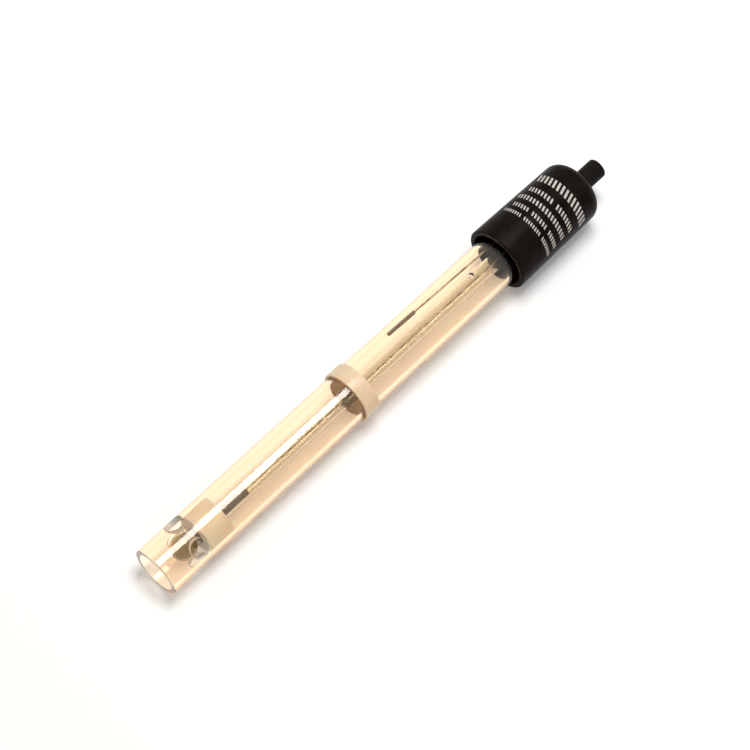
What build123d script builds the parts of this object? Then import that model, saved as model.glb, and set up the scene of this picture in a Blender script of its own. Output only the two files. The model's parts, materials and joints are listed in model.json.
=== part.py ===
from build123d import *

import os
from math import atan2, cos, degrees, radians, sin, sqrt, tan

# Laboratory pH electrode: a clear tube with a guarded glass bulb, a sliding sleeve and a black cap.
# Each piece is made about the electrode's long axis, Z, with the tip rim at height 0 and the cap above,
# and is then laid down on the tip rim and the cap rim. Turns are about the long axis, in degrees.

# Driving dimensions, in millimetres and degrees

# Clear tube, with the guard at its tip and the fill hole below the cap
TUBE_DIAMETER = 12.0
TUBE_WALL = 1.2
INSERTION_LENGTH = 108.4
TIP_CHAMFER = 0.25
GUARD_DEPTH = 12.2
WINDOW_COUNT = 4
WINDOW_DIAMETER = 4.6
WINDOW_MARGIN = 0.4
WINDOW_TURN = 35.0
FILL_HOLE_DIAMETER = 1.2
FILL_HOLE_DROP = 9.8
FILL_HOLE_TURN = -7.0

# Soft sleeve that closes the fill hole
SLEEVE_LENGTH = 4.2
SLEEVE_WALL = 0.55
SLEEVE_HEIGHT = 60.7
SLEEVE_CHAMFER = 0.18
SLEEVE_CLEARANCE = 0.05

# Glass stem with the bulb blown on its end, and the plug in its top
STEM_DIAMETER = 4.0
STEM_WALL = 0.5
STEM_OVERRUN = 1.0
BULB_SWELL = 1.1
BULB_WALL = 0.35
BULB_NECK = 1.5
BULB_BLEND = 0.5
STEM_PLUG_LENGTH = 4.0

# Cast seals of the tube, and the porous pin through the lower one
TIP_SEAL_LENGTH = 6.5
UPPER_SEAL_LENGTH = 8.0
FRIT_DIAMETER = 1.2
FRIT_TURN = 134.0

# Silver wires with their coated ends
WIRE_DIAMETER = 0.5
COAT_TIP = 0.2
COAT_CHAMFER = 0.12
REFERENCE_COAT_DIAMETER = 0.95
REFERENCE_COAT_LENGTH = 8.4
REFERENCE_COAT_HEIGHT = 76.2
REFERENCE_WALL_GAP = 0.2
REFERENCE_STEM_GAP = 0.9
REFERENCE_TURN = -81.0
REFERENCE_BEND_RADIUS = 12.0
SIGNAL_COAT_DIAMETER = 2.3
SIGNAL_COAT_LENGTH = 7.2
SIGNAL_COAT_HEIGHT = 20.0
WIRE_END_GAP = 1.5

# Cap, from the open skirt up to the roof
SKIRT_GAP = 0.9
SKIRT_WALL = 1.35
SKIRT_DEPTH = 3.0
SOCKET_DEPTH = 12.9
SHOULDER_LIP = 0.3
CAVITY_HEIGHT = 9.0
ROOF_THICKNESS = 3.0
CAP_DRAFT = 1.0
CAP_TOP_ROUND = 3.0
CAP_RIM_CHAMFER = 0.3

# Cable boot in the cap's roof
BOOT_DIAMETER = 5.0
BOOT_STANDOUT = 7.2
BOOT_END_CHAMFER = 0.5
BOOT_FLANGE_THICKNESS = 1.6
BOOT_FLANGE_GAP = 0.4
CABLE_BORE_DIAMETER = 3.2
CABLE_BORE_DEPTH = 6.5
CORE_HOLE_DIAMETER = 2.0

# Gap that a cemented or cast joint leaves between two round faces
CAST_GAP = 0.03

# Largest share of a wall that one of its broken edges takes up
EDGE_SHARE = 0.45

# How far the lying electrode is rolled about its long axis, from the top towards its front
LYING_ROLL = 15.3

# Radii and heights that follow from the driving dimensions
tube_radius = TUBE_DIAMETER / 2
bore_radius = tube_radius - TUBE_WALL
stem_radius = STEM_DIAMETER / 2
stem_bore_radius = stem_radius - STEM_WALL
wire_radius = WIRE_DIAMETER / 2
reference_coat_radius = REFERENCE_COAT_DIAMETER / 2
frit_radius = FRIT_DIAMETER / 2

tip_chamfer = min(TIP_CHAMFER, EDGE_SHARE * TUBE_WALL)
cap_rim_chamfer = min(CAP_RIM_CHAMFER, EDGE_SHARE * SKIRT_WALL)

cap_rim = INSERTION_LENGTH
socket_floor = cap_rim + SKIRT_DEPTH
tube_top = socket_floor + SOCKET_DEPTH
roof_underside = tube_top + CAVITY_HEIGHT
cap_top = roof_underside + ROOF_THICKNESS
skirt_bore_radius = tube_radius + SKIRT_GAP
skirt_radius = skirt_bore_radius + SKIRT_WALL
cavity_radius = bore_radius - SHOULDER_LIP

boot_radius = BOOT_DIAMETER / 2
boot_flange_radius = cavity_radius - BOOT_FLANGE_GAP
boot_foot = roof_underside - BOOT_FLANGE_THICKNESS
boot_end = cap_top + BOOT_STANDOUT

tip_seal_top = GUARD_DEPTH + TIP_SEAL_LENGTH
upper_seal_foot = tube_top - UPPER_SEAL_LENGTH
stem_top = tube_top + STEM_OVERRUN
wire_top = boot_foot - WIRE_END_GAP
frit_offset = (stem_radius + bore_radius) / 2
reference_offset = stem_radius + REFERENCE_STEM_GAP + wire_radius
reference_end_offset = bore_radius - REFERENCE_WALL_GAP - reference_coat_radius


def band(inner, outer, foot, top):
    """Section between two radii and two heights, with X as the radius and Y as the height."""
    return Pos((inner + outer) / 2, (foot + top) / 2) * Rectangle(outer - inner, top - foot)


def corner_of(section, radius_at, height_at):
    """Corner of a section that is nearest to a radius and a height."""
    return section.vertices().sort_by_distance((radius_at, height_at))[0]


def turned(section):
    """Solid that a section sweeps about the long axis."""
    return revolve(Plane.XZ * section, Axis.Z)


def rod(radius, foot, top, offset=0.0):
    """Round rod along the long axis, set off from it towards X."""
    return Pos(offset, 0, (foot + top) / 2) * Cylinder(radius, top - foot)


def radial_drill(diameter, height, turn):
    """Round cutter from the long axis out through one side of the tube."""
    across = Plane(origin=(0, 0, height), z_dir=(cos(radians(turn)), sin(radians(turn)), 0))
    return across * Pos(0, 0, tube_radius) * Cylinder(diameter / 2, TUBE_DIAMETER)


def make_body_tube():
    """Clear tube, open at the tip, with the guard's windows and the fill hole."""
    section = band(bore_radius, tube_radius, 0, tube_top)
    for rim_radius in (bore_radius, tube_radius):
        section = chamfer(corner_of(section, rim_radius, 0), tip_chamfer)
    tube = turned(section)
    window_height = GUARD_DEPTH - WINDOW_MARGIN - WINDOW_DIAMETER / 2
    for index in range(WINDOW_COUNT):
        tube -= radial_drill(WINDOW_DIAMETER, window_height, WINDOW_TURN + index * 360 / WINDOW_COUNT)
    return tube - radial_drill(FILL_HOLE_DIAMETER, cap_rim - FILL_HOLE_DROP, FILL_HOLE_TURN)


def make_fill_sleeve():
    """Soft band that grips the outside of the tube and slides along it."""
    inner = tube_radius + SLEEVE_CLEARANCE
    outer = inner + SLEEVE_WALL
    foot = SLEEVE_HEIGHT - SLEEVE_LENGTH / 2
    top = SLEEVE_HEIGHT + SLEEVE_LENGTH / 2
    section = band(inner, outer, foot, top)
    for end in (foot, top):
        section = chamfer(corner_of(section, outer, end), min(SLEEVE_CHAMFER, EDGE_SHARE * SLEEVE_WALL))
    return turned(section)


def make_bulb_stem():
    """Glass tube from the guard up into the cap, with the thin bulb blown on its lower end."""
    ball_radius = stem_radius + BULB_SWELL
    meet = GUARD_DEPTH - BULB_NECK
    ball_height = meet - sqrt(ball_radius ** 2 - stem_radius ** 2)
    stem = band(-stem_radius, stem_radius, ball_height, stem_top)
    outside = Pos(0, ball_height) * Circle(ball_radius) + stem
    for side in (stem_radius, -stem_radius):
        outside = fillet(corner_of(outside, side, meet), BULB_BLEND)
    hollow = Pos(0, ball_height) * Circle(ball_radius - BULB_WALL)
    bore = band(-stem_bore_radius, stem_bore_radius, ball_height, stem_top)
    right_half = band(0, ball_radius, ball_height - ball_radius, stem_top)
    return turned((outside - hollow - bore) & right_half)


def make_stem_plug():
    """Plug in the top of the stem, cast round the signal wire."""
    section = band(wire_radius + CAST_GAP, stem_bore_radius - CAST_GAP, stem_top - STEM_PLUG_LENGTH, stem_top)
    return turned(section)


def make_tip_seal():
    """Cast plug that closes the tube above the guard, round the stem and the porous pin."""
    plug = turned(band(stem_radius + CAST_GAP, bore_radius - CAST_GAP, GUARD_DEPTH, tip_seal_top))
    return plug - Rot(0, 0, FRIT_TURN) * rod(frit_radius + CAST_GAP, GUARD_DEPTH, tip_seal_top, frit_offset)


def make_junction_frit():
    """Porous ceramic pin from the reference space to the sample."""
    return Rot(0, 0, FRIT_TURN) * rod(frit_radius, GUARD_DEPTH, tip_seal_top, frit_offset)


def make_upper_seal():
    """Plug in the top of the tube, cast round the stem and the reference wire."""
    plug = turned(band(stem_radius + CAST_GAP, bore_radius - CAST_GAP, upper_seal_foot, tube_top))
    wire_hole = rod(wire_radius + CAST_GAP, upper_seal_foot, tube_top, reference_offset)
    return plug - Rot(0, 0, REFERENCE_TURN) * wire_hole


def coated_end(coat_radius, coat_length):
    """Coat round the last stretch of a wire that ends at the origin and runs up Z."""
    coat = Pos(0, 0, coat_length / 2 - COAT_TIP) * Cylinder(coat_radius, coat_length)
    edge = min(COAT_CHAMFER, EDGE_SHARE * (coat_radius - wire_radius))
    coat = chamfer(coat.edges().sort_by(Axis.Z)[0], edge)
    return coat - rod(wire_radius + CAST_GAP, 0, coat_length)


def make_signal_wire():
    """Silver wire along the middle of the stem."""
    return rod(wire_radius, SIGNAL_COAT_HEIGHT, wire_top)


def make_signal_chloride():
    """Coated lower end of the signal wire."""
    return Pos(0, 0, SIGNAL_COAT_HEIGHT) * coated_end(SIGNAL_COAT_DIAMETER / 2, SIGNAL_COAT_LENGTH)


def reference_end_plane():
    """Plane at the reference wire's lower end, with its normal up the slanted stretch of the wire."""
    rise = upper_seal_foot - REFERENCE_COAT_HEIGHT
    run = reference_offset - reference_end_offset
    end = (reference_end_offset, 0, REFERENCE_COAT_HEIGHT)
    return Plane(origin=end, x_dir=(rise, 0, -run), z_dir=(run, 0, rise))


def make_reference_wire():
    """Silver wire that leaves the upper seal beside the stem and slants out towards the tube's wall."""
    foot = (reference_end_offset, 0, REFERENCE_COAT_HEIGHT)
    bend = (reference_offset, 0, upper_seal_foot - wire_radius)
    top = (reference_offset, 0, wire_top)
    route = FilletPolyline(foot, bend, top, radius=REFERENCE_BEND_RADIUS)
    return Rot(0, 0, REFERENCE_TURN) * sweep(Plane(foot, z_dir=route % 0) * Circle(wire_radius), path=route)


def make_reference_chloride():
    """Coated lower end of the reference wire."""
    coat = coated_end(reference_coat_radius, REFERENCE_COAT_LENGTH)
    return Rot(0, 0, REFERENCE_TURN) * (reference_end_plane() * coat)


def make_cap():
    """Moulded cap: open skirt round the tube, socket with a shoulder, wire space and rounded roof."""
    top_radius = skirt_radius - (cap_top - cap_rim) * tan(radians(CAP_DRAFT))
    socket_radius = tube_radius + CAST_GAP
    roof_hole_radius = boot_radius + CAST_GAP
    outline = Polyline(
        (skirt_radius, cap_rim),
        (top_radius, cap_top),
        (roof_hole_radius, cap_top),
        (roof_hole_radius, roof_underside),
        (cavity_radius, roof_underside),
        (cavity_radius, tube_top),
        (socket_radius, tube_top),
        (socket_radius, socket_floor),
        (skirt_bore_radius, socket_floor),
        (skirt_bore_radius, cap_rim),
        close=True,
    )
    section = make_face(outline)
    section = fillet(corner_of(section, top_radius, cap_top), min(CAP_TOP_ROUND, ROOF_THICKNESS))
    return turned(chamfer(corner_of(section, skirt_radius, cap_rim), cap_rim_chamfer))


def make_cable_boot():
    """Round stub through the cap's roof, with a flange under the roof and a stepped bore for the cable."""
    cable_radius = CABLE_BORE_DIAMETER / 2
    flange = band(0, boot_flange_radius, boot_foot, roof_underside)
    stub = band(0, boot_radius, roof_underside, boot_end)
    end_chamfer = min(BOOT_END_CHAMFER, EDGE_SHARE * (boot_radius - cable_radius))
    section = chamfer(corner_of(flange + stub, boot_radius, boot_end), end_chamfer)
    cable_bore = band(0, cable_radius, boot_end - CABLE_BORE_DEPTH, boot_end)
    core_hole = band(0, CORE_HOLE_DIAMETER / 2, boot_foot, boot_end)
    return turned(section - cable_bore - core_hole)


def lying_tilt():
    """Angle at which the tube's tip edge and the cap's rim edge touch one flat surface."""
    rim_edge_radius = skirt_radius - cap_rim_chamfer * sin(radians(CAP_DRAFT))
    rim_edge_height = cap_rim + cap_rim_chamfer * cos(radians(CAP_DRAFT))
    return atan2(rim_edge_radius - tube_radius, rim_edge_height - tip_chamfer)


def lying_place(pieces):
    """Location that lays the electrode along X, resting on Z = 0 with its box centred on the origin."""
    tilt = lying_tilt()
    lying = Plane(origin=(0, 0, 0), x_dir=(-sin(tilt), 0, cos(tilt)), z_dir=(cos(tilt), 0, sin(tilt)))
    box = Compound(children=[lying.location * piece for piece in pieces]).bounding_box()
    return Pos(-box.center().X, 0, -box.min.Z) * lying.location * Rot(0, 0, LYING_ROLL)


MAKERS = {
    "body_tube": make_body_tube,
    "fill_sleeve": make_fill_sleeve,
    "bulb_stem": make_bulb_stem,
    "stem_plug": make_stem_plug,
    "tip_seal": make_tip_seal,
    "junction_frit": make_junction_frit,
    "upper_seal": make_upper_seal,
    "signal_wire": make_signal_wire,
    "signal_chloride": make_signal_chloride,
    "reference_wire": make_reference_wire,
    "reference_chloride": make_reference_chloride,
    "cap": make_cap,
    "cable_boot": make_cable_boot,
}

upright = {name: make() for name, make in MAKERS.items()}
place = lying_place(list(upright.values()))

os.makedirs("parts", exist_ok=True)
for name, piece in upright.items():
    export_step(place * piece, f"parts/{name}.step")

print(f"tilt {degrees(lying_tilt()):.4f} degrees, tip rim at {place.position.X:.3f}, {place.position.Z:.3f}")
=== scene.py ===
"""Laboratory pH electrode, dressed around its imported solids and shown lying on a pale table.

Lengths in the classes are millimetres in the electrode's own frame: Z runs along its axis from the tip's
rim towards the cap, and turns are degrees about that axis. A piece is modelled there and is then laid down
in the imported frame, which is in metres.
"""

import json
import logging
from abc import ABC, abstractmethod
from dataclasses import dataclass, field
from enum import Enum
from math import asin, atan2, cos, degrees, pi, radians, sin, sqrt, tan
from typing import Callable, Iterable

import bmesh
import bpy
from mathutils import Matrix, Vector

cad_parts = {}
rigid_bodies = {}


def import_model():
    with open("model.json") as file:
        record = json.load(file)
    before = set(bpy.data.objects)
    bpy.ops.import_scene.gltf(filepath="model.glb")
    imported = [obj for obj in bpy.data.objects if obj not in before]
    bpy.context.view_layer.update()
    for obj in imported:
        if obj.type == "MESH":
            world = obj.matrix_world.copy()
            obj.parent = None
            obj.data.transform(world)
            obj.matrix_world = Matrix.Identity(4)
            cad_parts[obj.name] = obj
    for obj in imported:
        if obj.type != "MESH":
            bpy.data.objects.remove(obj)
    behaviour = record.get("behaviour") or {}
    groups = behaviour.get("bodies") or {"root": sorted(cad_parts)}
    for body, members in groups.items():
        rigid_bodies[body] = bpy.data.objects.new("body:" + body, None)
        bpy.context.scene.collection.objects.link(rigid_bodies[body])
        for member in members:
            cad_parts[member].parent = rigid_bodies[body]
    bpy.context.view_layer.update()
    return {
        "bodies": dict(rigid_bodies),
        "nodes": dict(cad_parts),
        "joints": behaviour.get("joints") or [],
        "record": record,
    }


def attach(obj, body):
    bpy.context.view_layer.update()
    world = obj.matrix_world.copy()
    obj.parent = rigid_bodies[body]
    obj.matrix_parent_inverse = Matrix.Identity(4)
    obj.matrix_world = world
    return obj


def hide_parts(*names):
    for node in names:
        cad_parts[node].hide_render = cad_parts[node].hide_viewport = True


LOG = logging.getLogger("ph_electrode")

Colour = tuple[float, float, float]
Stretch = tuple[float, float, float]
Limits = tuple[float, float]

MILLIMETRE = 0.001
FULL_TURN = 360
HALF_TURN = 180
ROUND_STEPS = 160
LYING_ROLL = 15.3
CABLE_BORE_HEIGHT = 140.25

# Tolerances of the mesh work, in millimetres and degrees.
LATHE_MERGE = 1e-4
LATHE_SLIVER = 1e-5
WALL_MERGE = 1e-3
SAME_HEIGHT = 0.01
SHARP_ANGLE = 40
SHADED_ANGLE = 38

# Where the values of a noise mostly lie, and the range of a share.
NOISE_MIDDLE: Limits = (0.3, 0.7)
SHARE: Limits = (0.0, 1.0)


class Body(Enum):
    """Moving body that a piece rides on."""

    ELECTRODE = "electrode"
    SLEEVE = "sleeve"


class Slot(Enum):
    """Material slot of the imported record."""

    TUBE = "clear_tube_plastic"
    SLEEVE = "sleeve_silicone"
    GLASS = "bulb_glass"
    SEAL = "seal_resin"
    POTTING = "potting_resin"
    FRIT = "frit_ceramic"
    SILVER = "silver_wire"
    CHLORIDE = "silver_chloride"
    CAP = "cap_plastic"
    BOOT = "boot_rubber"


class Sum(Enum):
    """Step of arithmetic in a material."""

    ADD = "ADD"
    SUBTRACT = "SUBTRACT"
    MULTIPLY = "MULTIPLY"
    LARGER = "MAXIMUM"
    ABOVE = "GREATER_THAN"
    NEAR = "COMPARE"
    TO_AND_FRO = "PINGPONG"
    ANGLE = "ARCTAN2"


@dataclass(frozen=True)
class LyingPlace:
    """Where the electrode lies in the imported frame.

    Attributes:
        axis: Unit vector from the tip towards the cap.
        tip: Middle of the tip's rim, in metres.
        roll: Turn of the electrode about its axis, in degrees.
    """

    axis: Vector
    tip: Vector
    roll: float

    @classmethod
    def from_record(cls, record: dict, bore_height: float, roll: float) -> "LyingPlace":
        """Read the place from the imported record.

        Args:
            record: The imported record.
            bore_height: Height of the cable bore's middle above the tip's rim, in millimetres.
            roll: Turn of the electrode about its axis, in degrees.

        Returns:
            The electrode's place.
        """
        bore = next(mount for mount in record["mounts"] if mount["name"] == "cable_bore")
        axis = Vector(bore["axis"]).normalized()
        return cls(axis, Vector(bore["pos_m"]) - axis * bore_height * MILLIMETRE, roll)

    def matrix(self) -> Matrix:
        """Lay the electrode down.

        Returns:
            Matrix from the electrode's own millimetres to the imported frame's metres.
        """
        side = self.axis.cross(Vector((0, 0, 1))).normalized()
        up = side.cross(self.axis)
        turned = Matrix((up, side, self.axis)).transposed() @ Matrix.Rotation(radians(self.roll), 3, "Z")
        return Matrix.Translation(self.tip) @ turned.to_4x4() @ Matrix.Scale(MILLIMETRE, 4)


@dataclass(frozen=True)
class Rounding:
    """Rounded edge.

    Attributes:
        size: How far the edge is rounded off.
        steps: Segments of the rounding.
    """

    size: float
    steps: int


class LatheProfile:
    """Outline in the plane of the axis that is drawn corner by corner and then spun into a solid."""

    def __init__(self, radius: float, height: float) -> None:
        """Start the outline at its first corner.

        Args:
            radius: Corner's distance from the axis.
            height: Corner's height above the tip's rim.
        """
        self.mesh = bmesh.new()
        self.first = self.mesh.verts.new((radius, 0, height))
        self.last = self.first
        self.rounds: list[tuple[bmesh.types.BMVert, Rounding]] = []

    def line_to(self, radius: float, height: float, rounding: Rounding | None = None) -> "LatheProfile":
        """Draw a straight line to the next corner.

        Args:
            radius: Corner's distance from the axis.
            height: Corner's height above the tip's rim.
            rounding: How the corner is rounded off, or None for a sharp one.

        Returns:
            The outline itself.
        """
        grown = bmesh.ops.extrude_vert_indiv(self.mesh, verts=[self.last])
        self.last = grown["verts"][0]
        self.last.co = (radius, 0, height)
        return self.round_last(rounding) if rounding else self

    def arc_about(self, radius: float, height: float, angle: float, steps: int) -> "LatheProfile":
        """Draw an arc from the last corner about a middle point.

        Args:
            radius: Middle's distance from the axis.
            height: Middle's height above the tip's rim.
            angle: Angle of the arc in degrees, positive from the tip outwards.
            steps: Segments of the arc.

        Returns:
            The outline itself.
        """
        swept = bmesh.ops.spin(
            self.mesh, geom=[self.last], cent=(radius, 0, height), axis=(0, -1, 0), angle=radians(angle),
            steps=steps,
        )
        self.last = next(item for item in swept["geom_last"] if isinstance(item, bmesh.types.BMVert))
        return self

    def round_last(self, rounding: Rounding) -> "LatheProfile":
        """Round off the last corner, and give the outline itself back."""
        self.rounds.append((self.last, rounding))
        return self

    def spun(self, closed: bool = True) -> bmesh.types.BMesh:
        """Round the noted corners and spin the outline about the axis.

        Args:
            closed: Whether the last corner is joined to the first.

        Returns:
            Mesh of the turned piece.
        """
        if closed:
            self.mesh.edges.new((self.last, self.first))
        for corner, rounding in self.rounds:
            bmesh.ops.bevel(
                self.mesh, geom=[corner], offset=rounding.size, offset_type="OFFSET", segments=rounding.steps,
                profile=0.5, affect="VERTICES", material=-1,
            )
        outline = list(self.mesh.verts) + list(self.mesh.edges)
        bmesh.ops.spin(
            self.mesh, geom=outline, cent=(0, 0, 0), axis=(0, 0, 1), angle=2 * pi, steps=ROUND_STEPS,
            use_merge=True,
        )
        bmesh.ops.remove_doubles(self.mesh, verts=self.mesh.verts, dist=LATHE_MERGE)
        bmesh.ops.dissolve_degenerate(self.mesh, dist=LATHE_SLIVER, edges=self.mesh.edges)
        bmesh.ops.recalc_face_normals(self.mesh, faces=self.mesh.faces)
        return self.mesh


@dataclass(frozen=True)
class Noise:
    """Noise over the electrode's own frame.

    Attributes:
        scale: Repeats in a millimetre.
        detail: Number of finer layers.
        roughness: Strength of the finer layers.
        stretch: Factor along each of the electrode's own directions.
    """

    scale: float
    detail: float = 3.0
    roughness: float = 0.5
    stretch: Stretch = (1.0, 1.0, 1.0)


@dataclass(frozen=True)
class Relief:
    """How far a fine relief stands out.

    Attributes:
        depth: Its height in millimetres.
        strength: Strength of its shading.
    """

    depth: float
    strength: float


class ShaderBench:
    """Material under way, with short calls for the nodes that the finishes share."""

    def __init__(self, slot: Slot, place: LyingPlace) -> None:
        """Start a material that reads places in the electrode's own frame.

        Args:
            slot: Record slot that names the material.
            place: Where the electrode lies.
        """
        self.material = bpy.data.materials.new(slot.value)
        self.material.use_nodes = True
        self.nodes = self.material.node_tree.nodes
        self.links = self.material.node_tree.links
        self.nodes.clear()
        self.output = self.nodes.new("ShaderNodeOutputMaterial")
        self.surface = self.nodes.new("ShaderNodeBsdfPrincipled")
        self.links.new(self.surface.outputs["BSDF"], self.output.inputs["Surface"])
        self.place = place

    def constant(self, **values: float | Colour) -> None:
        """Set values on the surface's own sockets, by name with underscores for spaces."""
        for name, value in values.items():
            self.surface.inputs[name.replace("_", " ")].default_value = value

    def feed(self, socket: bpy.types.NodeSocket, name: str) -> None:
        """Link a socket to one of the surface's inputs."""
        self.links.new(socket, self.surface.inputs[name])

    def own_frame(self, stretch: Stretch = (1.0, 1.0, 1.0)) -> bpy.types.NodeSocket:
        """Read places in the electrode's own millimetres.

        Args:
            stretch: Factor along each of the electrode's own directions.

        Returns:
            Vector socket.
        """
        coordinates = self.nodes.new("ShaderNodeTexCoord")
        location, rotation, scale = self.place.matrix().inverted().decompose()
        mapping = self.nodes.new("ShaderNodeMapping")
        mapping.inputs["Location"].default_value = location
        mapping.inputs["Rotation"].default_value = rotation.to_euler("XYZ")
        mapping.inputs["Scale"].default_value = scale
        self.links.new(coordinates.outputs["Object"], mapping.inputs["Vector"])
        stretched = self.nodes.new("ShaderNodeVectorMath")
        stretched.operation = "MULTIPLY"
        stretched.inputs[1].default_value = stretch
        self.links.new(mapping.outputs["Vector"], stretched.inputs[0])
        return stretched.outputs["Vector"]

    def own_directions(self) -> tuple[bpy.types.NodeSocket, ...]:
        """Read places along each of the electrode's own directions.

        Returns:
            Value sockets for X, Y and Z in millimetres.
        """
        split = self.nodes.new("ShaderNodeSeparateXYZ")
        self.links.new(self.own_frame(), split.inputs["Vector"])
        return tuple(split.outputs)

    def noise(self, pattern: Noise) -> bpy.types.NodeSocket:
        """Lay a noise over the electrode's own frame.

        Args:
            pattern: The noise.

        Returns:
            Value socket from 0 to 1.
        """
        texture = self.nodes.new("ShaderNodeTexNoise")
        texture.inputs["Scale"].default_value = pattern.scale
        texture.inputs["Detail"].default_value = pattern.detail
        texture.inputs["Roughness"].default_value = pattern.roughness
        self.links.new(self.own_frame(pattern.stretch), texture.inputs["Vector"])
        return texture.outputs["Fac"]

    def spread(
        self, value: bpy.types.NodeSocket, result: Limits, limits: Limits = NOISE_MIDDLE
    ) -> bpy.types.NodeSocket:
        """Bring a value from one range into another, and hold it there.

        Args:
            value: Value socket.
            result: Results at the start and the end of the value's range.
            limits: Start and end of the value's range.

        Returns:
            Value socket.
        """
        ranged = self.nodes.new("ShaderNodeMapRange")
        for name, number in zip(("From Min", "From Max", "To Min", "To Max"), limits + result):
            ranged.inputs[name].default_value = number
        self.links.new(value, ranged.inputs["Value"])
        return ranged.outputs["Result"]

    def blend(
        self, share: bpy.types.NodeSocket, first: Colour | bpy.types.NodeSocket, second: Colour
    ) -> bpy.types.NodeSocket:
        """Blend from a first colour to a second one.

        Args:
            share: Share of the second colour.
            first: Colour, or the socket of one.
            second: Colour.

        Returns:
            Colour socket.
        """
        mix = self.nodes.new("ShaderNodeMix")
        mix.data_type = "RGBA"
        self.links.new(share, mix.inputs["Factor"])
        if isinstance(first, bpy.types.NodeSocket):
            self.links.new(first, mix.inputs["A"])
        else:
            mix.inputs["A"].default_value = (*first, 1.0)
        mix.inputs["B"].default_value = (*second, 1.0)
        return mix.outputs["Result"]

    def sum_of(
        self, operation: Sum, first: bpy.types.NodeSocket, second: float | bpy.types.NodeSocket
    ) -> bpy.types.NodeSocket:
        """Work out one step of arithmetic.

        Args:
            operation: The step.
            first: Value socket.
            second: Value socket or number.

        Returns:
            Value socket.
        """
        step = self.nodes.new("ShaderNodeMath")
        step.operation = operation.value
        self.links.new(first, step.inputs[0])
        if isinstance(second, bpy.types.NodeSocket):
            self.links.new(second, step.inputs[1])
        else:
            step.inputs[1].default_value = second
        return step.outputs["Value"]

    def between(self, value: bpy.types.NodeSocket, low: float, high: float) -> bpy.types.NodeSocket:
        """Tell whether a value lies between two limits.

        Args:
            value: Value socket.
            low: Lower limit.
            high: Upper limit.

        Returns:
            Value socket, 1 between the limits and 0 elsewhere.
        """
        test = self.nodes.new("ShaderNodeMath")
        test.operation = Sum.NEAR.value
        test.inputs[1].default_value = (low + high) / 2
        test.inputs[2].default_value = (high - low) / 2
        self.links.new(value, test.inputs[0])
        return test.outputs["Value"]

    def emboss(self, height: bpy.types.NodeSocket, relief: Relief) -> None:
        """Raise the surface by a fine relief.

        Args:
            height: Value socket.
            relief: How far it stands out.
        """
        bump = self.nodes.new("ShaderNodeBump")
        bump.inputs["Strength"].default_value = relief.strength
        bump.inputs["Distance"].default_value = relief.depth * MILLIMETRE
        self.links.new(height, bump.inputs["Height"])
        self.links.new(bump.outputs["Normal"], self.surface.inputs["Normal"])

    def absorb(self, tint: Colour, density: float) -> None:
        """Let the inside of the piece take colour out of the light, more on a longer way.

        Args:
            tint: Colour that is kept.
            density: Strength for each metre.
        """
        inside = self.nodes.new("ShaderNodeVolumeAbsorption")
        inside.inputs["Color"].default_value = (*tint, 1.0)
        inside.inputs["Density"].default_value = density
        self.links.new(inside.outputs["Volume"], self.output.inputs["Volume"])


class Finish(ABC):
    """Look of a piece, which is laid on a material of its own.

    Attributes:
        slot: Record slot that names the material.
    """

    slot: Slot

    def make(self, place: LyingPlace) -> bpy.types.Material:
        """Build the material.

        Args:
            place: Where the electrode lies.

        Returns:
            The material.
        """
        bench = ShaderBench(self.slot, place)
        self.lay_on(bench)
        return bench.material

    @abstractmethod
    def lay_on(self, bench: ShaderBench) -> None:
        """Lay the look on a material under way."""


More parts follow.
